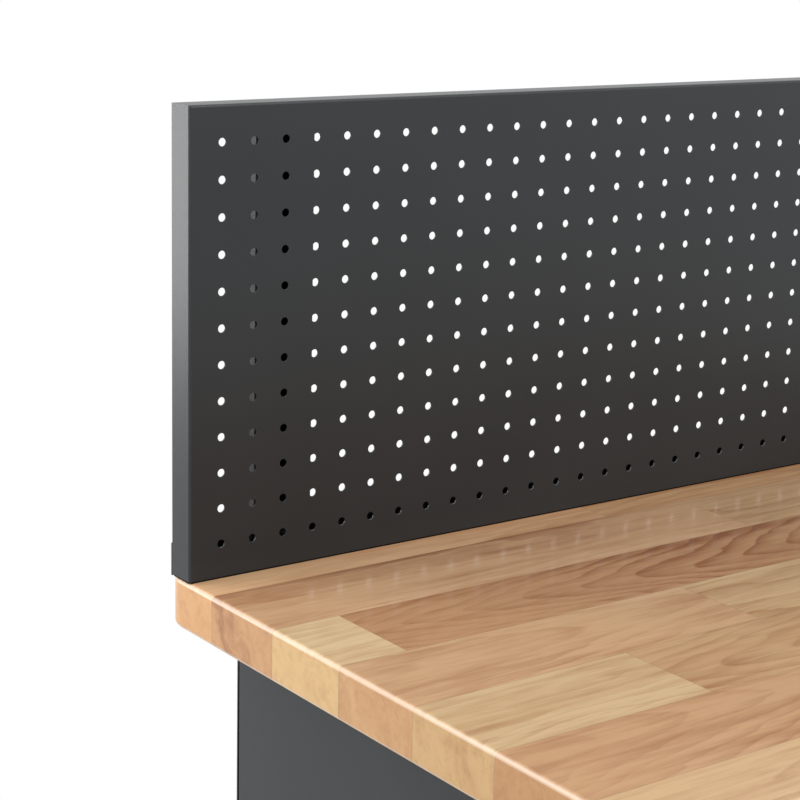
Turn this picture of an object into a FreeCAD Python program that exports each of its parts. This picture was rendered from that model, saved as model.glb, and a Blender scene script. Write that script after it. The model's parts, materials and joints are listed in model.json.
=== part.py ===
import FreeCAD, Part
import math
import os
from FreeCAD import Vector

# Drawer workbench with a wooden top and a perforated steel back panel.
# Millimetres. X runs along the bench, +Y to the rear, +Z up from the floor, and the
# origin lies on the floor below the middle of the wooden top.

# Wooden top
top_width = 914.4
top_depth = 508.0
top_thick = 36.0
top_corner_r = 25.0
top_ease = 2.0

# Cabinet of folded sheet, on four angle legs
leg_height = 100.0
cabinet_height = 778.0
side_overhang = 50.8
end_overhang = 19.0
sheet = 1.2
post_width = 22.0
post_return = 20.0
flange = 20.0
base_rail_height = 30.0
lock_rail_height = 45.0
rail_depth = 18.0
rail_lip = 8.0
rear_shelf = 55.0
swage_width = 60.0
swage_depth = 6.0
leg_width = 50.0
leg_foot = 32.0
leg_sheet = 2.5
cap_height = 18.0
cap_wall = 2.0

# Perforated back panel, its two stiffeners and the rail that holds them down
panel_height = 330.2
panel_depth = 24.0
panel_setback = 38.0
panel_return = 12.0
fold_r = 2.0
hole_pitch = 25.4
hole_d = 5.8
hole_sides = 4
stiffener_column = 2
stiffener_width = 47.6
stiffener_tab = 34.0
foot_rail_height = 23.5
foot_rail_thick = 1.5
foot_rail_foot = 20.0
foot_screw_inset = 12.0
foot_screw_shares = (-0.35, 0.0, 0.35)
bolt_spread = 24.0
bolt_level = 14.0

# Drawers, from the top down; the lowest takes the height that is left
upper_fronts = (90.0, 110.0, 130.0, 150.0)
front_gap = 2.5
side_gap = 1.5
front_depth = 18.0
drawer_sheet = 1.0
pan_lift = 10.0
pan_drop = 15.0
pan_hem = 6.0
lock_space = 52.0

# Pull along the top of each drawer front
pull_height = 32.0
pull_reach = 15.0
pull_wall = 2.0
pull_lip = 14.0
pull_bevel = 5.0

# Telescopic slides
slide_width = 12.7
slide_height = 45.0
slide_sheet = 1.2
slide_play = 0.4
slide_setback = 4.0
slide_overlap = 20.0
slide_lift = 6.0
lip_cut = 2.2
upright_length = 40.0
upright_inset = 17.0

# Lock: the plug turns a long rod, whose crank lifts a bar behind the drawers
lock_inset = 106.4
plug_r = 6.0
lock_body_r = 9.0
bezel_r = 11.5
bezel_sides = 12
bezel_thick = 3.0
lock_body_length = 22.0
plug_tail = 2.0
key_slot_width = 1.5
key_slot_height = 7.8
key_slot_depth = 6.0
rod_r = 3.0
crank_thick = 3.0
pin_r = 1.5
bar_width = 24.0
bar_thick = 3.0
bar_travel = 6.0
bar_offset = 11.5
window_width = 6.0
notch_slack = 1.5
catch_lift = 14.0
catch_height = 12.0
catch_thick = 2.0
catch_reach = 10.0
guide_thick = 2.0
guide_margin = 8.0

# Fasteners and clearances
screw_r = 2.2
screw_length = 24.0
screw_head = 3.5
screw_head_r = 4.4
bolt_r = 2.5
bolt_head = 3.0
bolt_head_r = 4.5
play = 0.05
gap = 0.3

# Places worked out from the sizes above
cab_w = top_width - 2 * side_overhang
cab_d = top_depth - 2 * end_overhang
side = cab_w / 2
front = -cab_d / 2
rear = cab_d / 2
cab_base = leg_height
cab_top = cab_base + cabinet_height
top_z = cab_top + top_thick
opening = side - post_width
inside = side - sheet
panel_front = top_depth / 2 - panel_setback
panel_rear = panel_front + panel_depth
slide_length = cab_d - front_depth - lock_space
travel = slide_length - slide_overlap
pan_side = opening - slide_width
pan_front = front + front_depth
pan_rear = pan_front + slide_length
bar_front = pan_rear + bar_offset
bar_rear = bar_front + bar_thick
lock_x = side - lock_inset
lock_back = front + lock_body_length
rod_z = cab_top - lock_rail_height / 2
crank_r = bar_travel / (2 * math.sin(math.pi / 4))
pin_x = lock_x + crank_r * math.cos(math.pi / 4)
pin_z = rod_z - crank_r * math.sin(math.pi / 4)

# Drawer fronts as (bottom, top)
fronts = []
level = cab_top - lock_rail_height - front_gap
for height in upper_fronts:
    fronts.append((level - height, level))
    level -= height + front_gap
fronts.append((cab_base + base_rail_height + front_gap, level))

# Holes of the back panel, and the places of the fasteners
hole_columns = int(top_width / hole_pitch - 0.5)
hole_rows = int(panel_height / hole_pitch - 0.5)
first_hole = -(hole_columns - 1) * hole_pitch / 2
stiffener_x = abs(first_hole + stiffener_column * hole_pitch)
top_screws = [
    (x, y) for x in (-side + flange / 2, side - flange / 2)
    for y in (front + cab_d / 5, rear - cab_d / 5)
]
foot_screws = [(share * top_width, panel_rear - foot_screw_inset) for share in foot_screw_shares]
panel_bolts = [
    (x + spread, top_z + bolt_level) for x in (-stiffener_x, stiffener_x)
    for spread in (-bolt_spread / 2, bolt_spread / 2)
]


def at(plane, a, b, c):
    # a and b lie in the plane, c across it
    if plane == "xy":
        return Vector(a, b, c)
    if plane == "xz":
        return Vector(a, c, b)
    return Vector(c, a, b)


def box(x0, x1, y0, y1, z0, z1):
    return Part.makeBox(x1 - x0, y1 - y0, z1 - z0, Vector(x0, y0, z0))


def prism(plane, points, c0, c1):
    # a polygon in the plane, carried from c0 to c1 across it
    ring = [at(plane, a, b, c0) for a, b in points]
    face = Part.Face(Part.makePolygon(ring + ring[:1]))
    return face.extrude(at(plane, 0, 0, c1 - c0))


def rod(plane, a, b, r, c0, c1):
    return Part.makeCylinder(r, c1 - c0, at(plane, a, b, c0), at(plane, 0, 0, 1))


def polygon(a, b, r_flat, sides, turn=0.0):
    # corners of a regular polygon whose flats lie r_flat from its centre
    r = r_flat / math.cos(math.pi / sides)
    turns = [turn + 2 * math.pi * i / sides for i in range(sides)]
    return [(a + r * math.cos(t), b + r * math.sin(t)) for t in turns]


def folded(points, thick):
    # outline of a sheet folded along the points, its thickness to their left
    inner = []
    last = len(points) - 1
    for i, (x, y) in enumerate(points):
        normals = []
        for j in (max(i - 1, 0), min(i, last - 1)):
            (x0, y0), (x1, y1) = points[j], points[j + 1]
            run = math.hypot(x1 - x0, y1 - y0)
            normals.append(((y0 - y1) / run, (x1 - x0) / run))
        (ax, ay), (bx, by) = normals
        shift = thick / (1 + ax * bx + ay * by)
        inner.append((x + shift * (ax + bx), y + shift * (ay + by)))
    return list(points) + inner[::-1]


def folded_sheet(plane, points, thick, c0, c1):
    return prism(plane, folded(points, thick), c0, c1)


def fuse(shapes):
    return shapes[0].fuse(shapes[1:]).removeSplitter()


def mirrored(shape):
    return shape.mirror(Vector(0, 0, 0), Vector(1, 0, 0))


def hexagon(plane, a, b, r_flat, c0, c1):
    return prism(plane, polygon(a, b, r_flat, 6), c0, c1)


def wood_screw(x, y, seat, up):
    # hexagon head against the sheet, shank on into the wood
    tip, crown = seat + up * screw_length, seat - up * screw_head
    shank = hexagon("xy", x, y, screw_r, min(seat, tip), max(seat, tip))
    head = hexagon("xy", x, y, screw_head_r, min(seat, crown), max(seat, crown))
    return fuse([shank, head])


def panel_bolt(x, z):
    # head in front of the stiffener's web, nut behind the rail
    near, far = panel_rear - sheet, panel_rear + foot_rail_thick
    return fuse([
        hexagon("xz", x, z, bolt_r, near, far),
        hexagon("xz", x, z, bolt_head_r, near - bolt_head, near),
        hexagon("xz", x, z, bolt_head_r, far, far + bolt_head),
    ])


def make_wood_screws():
    under = [wood_screw(x, y, cab_top - sheet, 1) for x, y in top_screws]
    over = [wood_screw(x, y, top_z + foot_rail_thick, -1) for x, y in foot_screws]
    return Part.makeCompound(under + over)


def make_panel_bolts():
    return Part.makeCompound([panel_bolt(x, z) for x, z in panel_bolts])


def make_worktop():
    half_w, half_d = top_width / 2, top_depth / 2
    slab = box(-half_w, half_w, -half_d, half_d, cab_top, top_z)
    corners = [e for e in slab.Edges if e.BoundBox.ZLength > top_thick / 2]
    slab = slab.makeFillet(top_corner_r, corners)
    rims = [e for e in slab.Edges if e.BoundBox.ZLength < top_thick / 2]
    slab = slab.makeChamfer(top_ease, rims)
    return slab.cut(make_wood_screws())


def make_side_panel():
    # the left side: one sheet folded round the front post, the back and both ends
    plan = [
        (-opening, front + post_return),
        (-opening, front),
        (-side, front),
        (-side, rear - sheet),
        (-side + flange, rear - sheet),
    ]
    wall = folded_sheet("xy", plan, -sheet, cab_base, cab_top)
    leaf = (-side, -side + flange, front + post_return, rear - sheet)
    upper = box(*leaf, cab_top - sheet, cab_top)
    lower = box(*leaf, cab_base + sheet, cab_base + 2 * sheet)
    return fuse([wall, upper, lower])


def make_back_panel():
    # pressed swages stiffen the back; its top is folded forward under the wood
    plan = [(-side, rear)]
    for x in (-cab_w / 4, 0.0, cab_w / 4):
        wide, narrow = swage_width / 2, swage_width / 2 - swage_depth
        plan += [(x - wide, rear), (x - narrow, rear + swage_depth)]
        plan += [(x + narrow, rear + swage_depth), (x + wide, rear)]
    plan += [(side, rear)]
    wall = folded_sheet("xy", plan, -sheet, cab_base, cab_top)
    reach = side - flange
    shelf = box(-reach, reach, rear - rear_shelf, rear - sheet, cab_top - sheet, cab_top)
    return fuse([wall, shelf])


def make_base_pan():
    back = rear - 2 * sheet
    floor = box(-inside, inside, front + post_return, back, cab_base, cab_base + sheet)
    top = cab_base + base_rail_height
    section = [
        (front + rail_depth, top - rail_lip),
        (front + rail_depth, top),
        (front, top),
        (front, cab_base),
        (front + post_return, cab_base),
    ]
    rail = folded_sheet("yz", section, sheet, -opening, opening)
    reach = side - flange
    upstand = box(-reach, reach, back, back + sheet, cab_base, top)
    return fuse([floor, rail, upstand])


def make_lock_rail():
    low = cab_top - lock_rail_height
    section = [
        (front + rail_depth, cab_top),
        (front, cab_top),
        (front, low),
        (front + rail_depth, low),
        (front + rail_depth, low + rail_lip),
    ]
    rail = folded_sheet("yz", section, sheet, -opening, opening)
    return rail.cut(hexagon("xz", lock_x, rod_z, lock_body_r, front, front + sheet))


def make_legs():
    # angles whose two leaves taper towards the floor
    x0, x1, x2 = -side, -side + leg_width, -side + leg_foot
    y0, y1, y2 = front, front + leg_width, front + leg_foot
    z0, z1 = cap_wall, cab_base
    leaf_x = [(x0, z1), (x1, z1), (x2, z0 + cap_height), (x2, z0), (x0, z0)]
    leaf_y = [(y0, z1), (y1, z1), (y2, z0 + cap_height), (y2, z0), (y0, z0)]
    leg = fuse([
        prism("xz", leaf_x, front, front + leg_sheet),
        prism("yz", leaf_y, -side, -side + leg_sheet),
    ])
    pair = [leg, mirrored(leg)]
    return Part.makeCompound(pair + [p.mirror(Vector(), Vector(0, 1, 0)) for p in pair])


def make_foot_caps():
    # cups that the legs stand in
    w = cap_wall
    cap = box(-side - w, -side + leg_foot + w, front - w, front + leg_foot + w, 0, cap_height)
    pair = [cap, mirrored(cap)]
    caps = Part.makeCompound(pair + [p.mirror(Vector(), Vector(0, 1, 0)) for p in pair])
    return caps.cut(make_legs())


def make_uprights():
    # channels that carry the slides, open towards the cabinet's sides
    pieces = []
    for y in (pan_front + upright_inset, pan_rear - upright_inset - upright_length):
        plan = [
            (-inside, y),
            (-opening, y),
            (-opening, y + upright_length),
            (-inside, y + upright_length),
        ]
        channel = folded_sheet("xy", plan, sheet, cab_base + 2 * sheet, cab_top - sheet)
        pieces += [channel, mirrored(channel)]
    return Part.makeCompound(pieces)


def slide_section(member):
    # (height, depth) of one nested channel, with depth counted from the upright
    step = slide_sheet + slide_play
    half = slide_height / 2 - member * step
    mouth = slide_width - lip_cut
    if member == 0:
        return [(half, mouth), (half, 0), (-half, 0), (-half, mouth)]
    if member == 1:
        web = slide_sheet + step
        return [(half, mouth), (half, web), (-half, web), (-half, mouth)]
    mouth = slide_sheet + 2 * step + gap
    return [(-half, mouth), (-half, slide_width), (half, slide_width), (half, mouth)]


def slide_pair(member, low):
    # both sides' channels of one drawer, whose front ends at low
    middle = low + pan_lift + slide_lift + slide_height / 2
    section = [(-opening + depth, middle + height) for height, depth in slide_section(member)]
    left = folded_sheet("xz", section, slide_sheet, pan_front + slide_setback, pan_rear)
    return [left, mirrored(left)]


def make_drawer(low, high):
    # hollow front, pan with hemmed rims, and the catch that the lock holds
    t, w = drawer_sheet, opening - side_gap
    base, rim = low + pan_lift, high - pan_drop
    skin = box(-w, w, front, pan_front, low, high)
    hollow = box(-w + t, w - t, front + t, pan_front - t, low + t, high - t)
    window = box(-pan_side + pan_hem, pan_side - pan_hem, pan_front - t, pan_front,
                 base + rail_lip, rim - rail_lip)
    skin = skin.cut(hollow).cut(window)
    section = [
        (-pan_side + pan_hem, rim), (-pan_side, rim), (-pan_side, base),
        (pan_side, base), (pan_side, rim), (pan_side - pan_hem, rim),
    ]
    pan = folded_sheet("xz", section, t, pan_front, pan_rear)
    walls = [
        box(-pan_side, pan_side, y, y + t, base, rim) for y in (pan_front, pan_rear - t)
    ]
    catch, half = base + catch_lift, catch_thick / 2
    tab = box(lock_x - half, lock_x + half, pan_rear, bar_rear + catch_reach,
              catch, catch + catch_height)
    notch = box(lock_x - half, lock_x + half, bar_front - notch_slack, bar_rear + notch_slack,
                catch, catch + bar_travel)
    return fuse([skin, pan] + walls + [tab.cut(notch)])


def make_pull(high):
    # a rail across the front, turned over into a lip that fingers reach behind
    y0, y1, t, b = front, front - pull_reach, pull_wall, pull_bevel
    low = high - pull_height
    section = [(y0, low), (y0, high), (y1 + b, high), (y1, high - b), (y1, high - pull_lip)]
    w = opening - side_gap
    return folded_sheet("yz", section, t, -w, w)


def peg_hole(x, z, sides):
    # a hole with few sides has the open area of the round one
    if sides is None:
        return Part.Wire(Part.makeCircle(hole_d / 2, Vector(x, panel_front, z), Vector(0, 1, 0)))
    flat = hole_d / 2 * math.sqrt(math.pi / sides / math.tan(math.pi / sides))
    ring = [Vector(a, panel_front, b) for a, b in polygon(x, z, flat, sides, math.pi / 2)]
    ring.reverse()
    return Part.makePolygon(ring + ring[:1])


def front_folds(solid, y, z0):
    # the edges of the front plane, without the lowest
    return [
        e for e in solid.Edges
        if e.BoundBox.YLength < gap and abs(e.BoundBox.YMin - y) < gap
        and e.BoundBox.ZMax > z0 + gap
    ]


def make_panel():
    # the flat face with its holes comes first, then the folds, flanges and returns
    half, t, z0, z1 = top_width / 2, sheet, top_z, top_z + panel_height
    flat, brim = half - fold_r, z1 - fold_r
    border = [(-flat, z0), (flat, z0), (flat, brim), (-flat, brim), (-flat, z0)]
    wires = [Part.makePolygon([Vector(x, panel_front, z) for x, z in border])]
    middle = hole_rows // 2
    round_holes = [(hole_columns // 2 + i, middle + j) for i in (0, 1) for j in (0, 1)]
    for i in range(hole_columns):
        for j in range(hole_rows):
            x, z = first_hole + i * hole_pitch, z0 + (j + 1) * hole_pitch
            sides = None if (i, j) in round_holes else hole_sides
            wires.append(peg_hole(x, z, sides))
    plate = Part.Face(wires).extrude(Vector(0, t, 0))
    pan = box(-half, half, panel_front, panel_rear, z0, z1)
    pan = pan.makeFillet(fold_r, front_folds(pan, panel_front, z0))
    hollow = box(-half + t, half - t, panel_front + t, panel_rear, z0, z1 - t)
    hollow = hollow.makeFillet(fold_r - t, front_folds(hollow, panel_front + t, z0))
    face = box(-flat, flat, panel_front, panel_front + t, z0, brim)
    left = box(-half, -half + panel_return, panel_rear - t, panel_rear, z0, z1)
    rim = fuse([pan.cut(hollow).cut(face), left, mirrored(left)])
    return rim.fuse(plate)


def make_stiffeners():
    # channels behind the panel, their webs at the back; below the tab's level only the web goes
    # on down, to the bolts
    low, high = top_z + foot_rail_thick, top_z + panel_height - fold_r
    w = stiffener_width / 2
    pieces, cuts = [], []
    for x in (-stiffener_x, stiffener_x):
        plan = [
            (x + w, panel_front + sheet),
            (x + w, panel_rear),
            (x - w, panel_rear),
            (x - w, panel_front + sheet),
        ]
        pieces.append(folded_sheet("xy", plan, sheet, low, high))
        cuts.append(box(x - w, x + w, panel_front, panel_rear - sheet, top_z, top_z + stiffener_tab))
    return Part.makeCompound(pieces).cut(cuts).cut(make_panel_bolts())


def make_foot_rail():
    # an angle: its foot is screwed to the wood, its leg bolted to the stiffeners
    half, t = top_width / 2, foot_rail_thick
    leg = box(-half, half, panel_rear, panel_rear + t, top_z, top_z + foot_rail_height)
    reach = half - panel_return - gap
    foot = box(-reach, reach, panel_rear - foot_rail_foot, panel_rear, top_z, top_z + t)
    return fuse([leg, foot]).cut(make_panel_bolts()).cut(make_wood_screws())


def make_lock_housing():
    # bezel in front of the rail, hexagon body through and behind it, and the plug's bore
    bezel = polygon(lock_x, rod_z, bezel_r, bezel_sides)
    body = fuse([
        prism("xz", bezel, front - bezel_thick, front),
        hexagon("xz", lock_x, rod_z, lock_body_r, front, lock_back),
    ])
    return body.cut(rod("xz", lock_x, rod_z, plug_r + play, front - bezel_thick, lock_back))


def make_lock_plug():
    start = front - bezel_thick
    plug = rod("xz", lock_x, rod_z, plug_r, start, lock_back + plug_tail)
    w, h = key_slot_width / 2, key_slot_height / 2
    slot = box(lock_x - w, lock_x + w, start, start + key_slot_depth, rod_z - h, rod_z + h)
    return plug.cut(slot)


def make_lock_rod():
    # the rod behind the plug, and the crank whose pin stands in the bar's slot
    start = lock_back + plug_tail
    crank = bar_front - gap - crank_thick
    arm = hexagon("xz", lock_x, rod_z, crank_r + 2 * pin_r, crank, crank + crank_thick)
    return fuse([
        rod("xz", lock_x, rod_z, rod_r, start, crank),
        arm,
        rod("xz", pin_x, pin_z, pin_r, crank + crank_thick, bar_rear + pin_r),
    ])


def make_lock_bar():
    # a window for each drawer's catch, and a slot for the crank's pin
    half, w = bar_width / 2, window_width / 2
    low, high = cab_base + 3 * sheet, rod_z + 2 * pin_r
    bar = box(lock_x - half, lock_x + half, bar_front, bar_rear, low, high)
    slots = []
    for bottom, _ in fronts:
        z = bottom + pan_lift + catch_lift
        slots.append(box(lock_x - w, lock_x + w, bar_front, bar_rear,
                         z - pin_r, z + catch_height + bar_travel + pin_r))
    slack = pin_r + play + gap
    slots.append(box(pin_x - slack, lock_x + crank_r + slack, bar_front, bar_rear,
                     pin_z - slack, pin_z + slack))
    return bar.cut(Part.makeCompound(slots))


def make_lock_guides():
    # two brackets on the back wall guide the bar; a hanger carries the rod
    half = bar_width / 2
    back, t, m = rear - sheet, guide_thick, guide_margin
    pieces = []
    for z in (cab_base + base_rail_height + m, cab_top - lock_rail_height - m):
        section = [(bar_front - m / 2, z), (back, z), (back, z + 2 * m)]
        bracket = folded_sheet("yz", section, t, lock_x - half - m, lock_x + half + m)
        slot = box(lock_x - half - gap, lock_x + half + gap, bar_front - gap, bar_rear + gap,
                   z, z + t)
        pieces.append(bracket.cut(slot))
    y = rear - rear_shelf
    plate = box(lock_x - half, lock_x + half, y, y + t, rod_z - m, cab_top - sheet)
    pieces.append(plate.cut(rod("xz", lock_x, rod_z, rod_r + play, y, y + t)))
    return Part.makeCompound(pieces)


def build():
    screws = make_wood_screws()
    left = make_side_panel()
    parts = {
        "worktop": make_worktop(),
        "wood_screws": screws,
        "panel_bolts": make_panel_bolts(),
        "side_panel_left": left.cut(screws),
        "side_panel_right": mirrored(left).cut(screws),
        "back_panel": make_back_panel(),
        "base_pan": make_base_pan(),
        "lock_rail": make_lock_rail(),
        "legs": make_legs(),
        "foot_caps": make_foot_caps(),
        "slide_uprights": make_uprights(),
        "slide_outer_rails": Part.makeCompound(
            [rail for low, _ in fronts for rail in slide_pair(0, low)]),
        "pegboard_panel": make_panel(),
        "pegboard_stiffeners": make_stiffeners(),
        "pegboard_foot_rail": make_foot_rail(),
        "lock_housing": make_lock_housing(),
        "lock_guides": make_lock_guides(),
        "lock_plug": make_lock_plug(),
        "lock_rod": make_lock_rod(),
        "lock_bar": make_lock_bar(),
    }
    for number, (low, high) in enumerate(fronts, 1):
        parts[f"drawer_{number}"] = make_drawer(low, high)
        parts[f"drawer_{number}_pull"] = make_pull(high)
        parts[f"drawer_{number}_inner_rails"] = Part.makeCompound(slide_pair(2, low))
        parts[f"drawer_{number}_middle_rails"] = Part.makeCompound(slide_pair(1, low))
    return parts


os.makedirs("parts", exist_ok=True)
for name, shape in build().items():
    shape.exportStep(f"parts/{name}.step")
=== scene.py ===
import json
import math
from functools import partial
import bmesh
import bpy
import numpy as np
from mathutils import Matrix, Vector


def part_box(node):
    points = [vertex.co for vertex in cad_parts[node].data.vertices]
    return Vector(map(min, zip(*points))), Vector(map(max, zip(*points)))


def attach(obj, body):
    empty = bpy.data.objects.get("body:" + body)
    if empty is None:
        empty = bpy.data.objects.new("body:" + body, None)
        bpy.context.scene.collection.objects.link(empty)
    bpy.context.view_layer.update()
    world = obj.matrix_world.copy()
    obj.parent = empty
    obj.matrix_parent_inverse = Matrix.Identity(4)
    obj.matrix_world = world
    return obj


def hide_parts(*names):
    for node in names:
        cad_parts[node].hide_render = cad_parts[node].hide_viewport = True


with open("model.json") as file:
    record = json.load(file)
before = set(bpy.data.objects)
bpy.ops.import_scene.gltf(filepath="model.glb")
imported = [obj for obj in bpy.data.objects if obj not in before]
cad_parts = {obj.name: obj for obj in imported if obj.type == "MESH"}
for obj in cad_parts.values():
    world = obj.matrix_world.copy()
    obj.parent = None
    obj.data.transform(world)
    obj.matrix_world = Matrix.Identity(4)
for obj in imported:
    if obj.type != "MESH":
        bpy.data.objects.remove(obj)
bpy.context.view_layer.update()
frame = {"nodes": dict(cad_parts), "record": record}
scene = bpy.context.scene
bench = "bench"
print("frame loaded")

cutEdge = 0.0002           # rounding at the rims of cut sheet, in metres
hair = 1e-5                # too small to be seen
mergeReach = 1e-6          # points closer than this become one
sameNumber = 0.1           # whole numbers closer than this are the same
roundedSharp = 40.0        # edges above this angle stay sharp on well rounded pieces
noiseMiddle = (0.3, 0.7)   # most of a noise's values lie between these

# what many pieces are measured from
topLow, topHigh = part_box("worktop")
panelLow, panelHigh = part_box("pegboard_panel")
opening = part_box("lock_rail")[1].x   # half of the opening between the sides


def picks(table, keys):
    # the values of the keys, which are named in one text
    return [table[key] for key in keys.split()]


def quadGrid(rows, cols, closeRows=False, closeCols=False):
    # point (i, j) has the index i * cols + j; each quad joins it to its neighbours in row and column
    i = np.arange(rows if closeRows else rows - 1)[:, None]
    j = np.arange(cols if closeCols else cols - 1)[None, :]
    i2, j2 = (i + 1) % rows, (j + 1) % cols
    quads = np.stack(np.broadcast_arrays(i * cols + j, i * cols + j2, i2 * cols + j2, i2 * cols + j), -1)
    return quads.reshape(-1, 4)


def ringSolid(rings):
    # rings: k x n x 3 loops; quads join each loop to the next, a flat face closes each end
    rings = np.asarray(rings, float)
    k, n, _ = rings.shape
    faces = quadGrid(k, n, closeCols=True).tolist()
    faces.append(list(range(n))[::-1])
    faces.append(list(range((k - 1) * n, k * n)))
    return rings.reshape(-1, 3), faces


def loopSolid(rings):
    # rings joined one to the next and the last to the first: a form with a hole through it
    rings = np.asarray(rings, float)
    k, n, _ = rings.shape
    return rings.reshape(-1, 3), quadGrid(k, n, True, True).tolist()


def together(parts):
    # several (points, faces) pairs as one: each pair's indices grow by the points before it
    points, faces, base = [], [], 0
    for p, f in parts:
        points.append(np.asarray(p, float).reshape(-1, 3))
        faces += [[i + base for i in face] for face in f]
        base += len(points[-1])
    return np.concatenate(points), faces


def mirrored(shape, axis=0):
    # the coordinate along the axis changes sign, and each face turns round to face outwards again
    points, faces = shape
    return points * np.where(np.arange(3) == axis, -1.0, 1.0), [list(f)[::-1] for f in faces]


def withMirror(shape, axis=0):
    # the shape and its mirror image, across X or another axis
    return together([shape, mirrored(shape, axis)])


def place(plane, a, b, c):
    # a and b lie in the plane, c across it; the three are first brought to one shape
    a, b, c = np.broadcast_arrays(a, b, c)
    order = {"xy": (a, b, c), "xz": (a, c, b), "yz": (c, a, b)}[plane]
    return np.stack(order, -1)


def slab(plane, outline, low, high):
    # a flat outline carried straight across its plane
    outline = np.asarray(outline, float)
    return ringSolid([place(plane, *outline.T, c) for c in (low, high)])


def newPiece(name, shape, slotName, *stands, look=None, body=bench, sharp=30.0):
    # a closed mesh with outward normals; edges sharper than the angle stay sharp
    points, faces = shape
    mesh = bpy.data.meshes.new(name)
    mesh.from_pydata(np.asarray(points, float).tolist(), [], [list(f) for f in faces])
    work = bmesh.new()
    work.from_mesh(mesh)
    bmesh.ops.remove_doubles(work, verts=work.verts, dist=mergeReach)
    bmesh.ops.recalc_face_normals(work, faces=work.faces)
    work.to_mesh(mesh)
    work.free()
    mesh.shade_smooth()
    mesh.set_sharp_from_angle(angle=math.radians(sharp))
    mesh.materials.append(look or looks[slotName])
    piece = bpy.data.objects.new(name, mesh)
    scene.collection.objects.link(piece)
    weighted = piece.modifiers.new("even normals", "WEIGHTED_NORMAL")
    weighted.keep_sharp, weighted.weight = True, 100   # the largest faces decide
    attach(piece, body)
    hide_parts(*stands)


def arcPoints(centreA, centreB, radius, start, end, steps):
    # points of an arc: centre plus radius times (cos, sin) of evenly spaced angles
    t = np.radians(np.linspace(start, end, steps + 1))
    return np.stack([centreA + radius * np.cos(t), centreB + radius * np.sin(t)], -1)


def bentLine(corners, radii, steps):
    # each inner corner gives way to an arc tangent to both runs; its centre lies on their
    # bisector, radius / sin(half angle) away, and its points slide from one radius to the other
    corners = [np.asarray(c, float) for c in corners]
    line = [corners[0][None]]
    straight = math.radians(89.5)   # half angles above this need no arc
    for before, corner, after, r in zip(corners, corners[1:], corners[2:], radii):
        u, v = before - corner, after - corner
        u, v = u / np.linalg.norm(u), v / np.linalg.norm(v)
        half = math.acos(max(-1.0, min(1.0, float(u @ v)))) / 2
        if r <= 0 or half > straight:
            line.append(corner[None])
            continue
        reach = r / math.tan(half)
        middle = corner + (u + v) / np.linalg.norm(u + v) * (r / math.sin(half))
        a, b = corner + u * reach - middle, corner + v * reach - middle
        t = np.linspace(0, 1, steps + 1)[:, None]
        sweep = math.pi - 2 * half
        line.append(middle + (np.sin((1 - t) * sweep) * a + np.sin(t * sweep) * b) / math.sin(sweep))
    line.append(corners[-1][None])
    return np.concatenate(line)


def bentSheet(corners, thick, radius, steps=6):
    # closed section of a sheet folded along the corners, its thickness to their left: the inner
    # line lies thick / (1 + cos of the bend) along the sum of both normals. The radius is the
    # inner one of each bend, and the skin on the far side of the bend gets the thickness too
    corners = [np.asarray(c, float) for c in corners]
    inner = []
    last = len(corners) - 1
    for i, corner in enumerate(corners):
        normals = []
        for j in (max(i - 1, 0), min(i, last - 1)):
            run = corners[j + 1] - corners[j]
            run = run / np.linalg.norm(run)
            normals.append(np.array([-run[1], run[0]]))
        both = normals[0] + normals[1]
        inner.append(corner + both * (thick / (1 + normals[0] @ normals[1])))
    radii = radius if isinstance(radius, (list, tuple)) else [radius] * (len(corners) - 2)
    outerR, innerR = [], []
    for a, b, c, r in zip(corners, corners[1:], corners[2:], radii):
        u, v = b - a, c - b
        left = u[0] * v[1] - u[1] * v[0] > 0
        outerR.append(r + thick if left else r)
        innerR.append(r if left else r + thick)
    return np.concatenate([bentLine(corners, outerR, steps), bentLine(inner, innerR, steps)[::-1]])


def sheetPiece(plane, corners, thick, radius, low, high, steps=6):
    # the folded section carried straight across its plane
    return slab(plane, bentSheet(corners, thick, radius, steps), low, high)


def roundedRectangle(a0, a1, b0, b1, radius, steps):
    # four quarter arcs of the radius, one round each corner
    corners = [(a1 - radius, b0 + radius, -90), (a1 - radius, b1 - radius, 0),
               (a0 + radius, b1 - radius, 90), (a0 + radius, b0 + radius, 180)]
    return np.concatenate([arcPoints(a, b, radius, s, s + 90, steps) for a, b, s in corners])


def softBox(low, high, edge, steps=2, corner=None, cornerSteps=None):
    # box with rounded upright corners and rims: a rounded rectangle, drawn in by edge * (1 - sin)
    # while it rises by edge * (1 - cos)
    (x0, y0, z0), (x1, y1, z1) = low, high
    t = np.linspace(0, math.pi / 2, steps + 1)
    rims = list(zip(edge * (1 - np.cos(t)), edge * (1 - np.sin(t))))
    levels = [(z0 + rise, inset) for rise, inset in rims]
    levels += [(z1 - rise, inset) for rise, inset in rims[::-1]]
    radius, around = corner or edge, cornerSteps or steps
    return ringSolid([
        place("xy", *roundedRectangle(x0 + i, x1 - i, y0 + i, y1 - i, max(radius - i, hair), around).T, z)
        for z, i in levels
    ])


def cutPlate(low, high, edge=cutEdge):
    # a plate of cut sheet: its rims are only just broken, in one step
    return softBox(low, high, edge, steps=1)


def turned(plane, a, b, profile, sides=32, join=ringSolid):
    # (radius, place) points turned round the line across the plane at a, b: each makes a ring of
    # a + radius * cos, b + radius * sin; loopSolid joins a profile that is a closed loop
    t = np.linspace(0, 2 * math.pi, sides, endpoint=False)
    return join([place(plane, a + r * np.cos(t), b + r * np.sin(t), c) for r, c in profile])


def hexHead(plane, a, b, flat, low, high, ease, up=True):
    # hexagon with its outer rim eased; its corners lie flat / cos(30 degrees) from the middle
    r = flat / math.cos(math.pi / 6)
    rings = [(r, low), (r, high - ease), (r - ease, high)] if up else \
        [(r - ease, low), (r, low + ease), (r, high)]
    return turned(plane, a, b, rings, sides=6)


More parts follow.
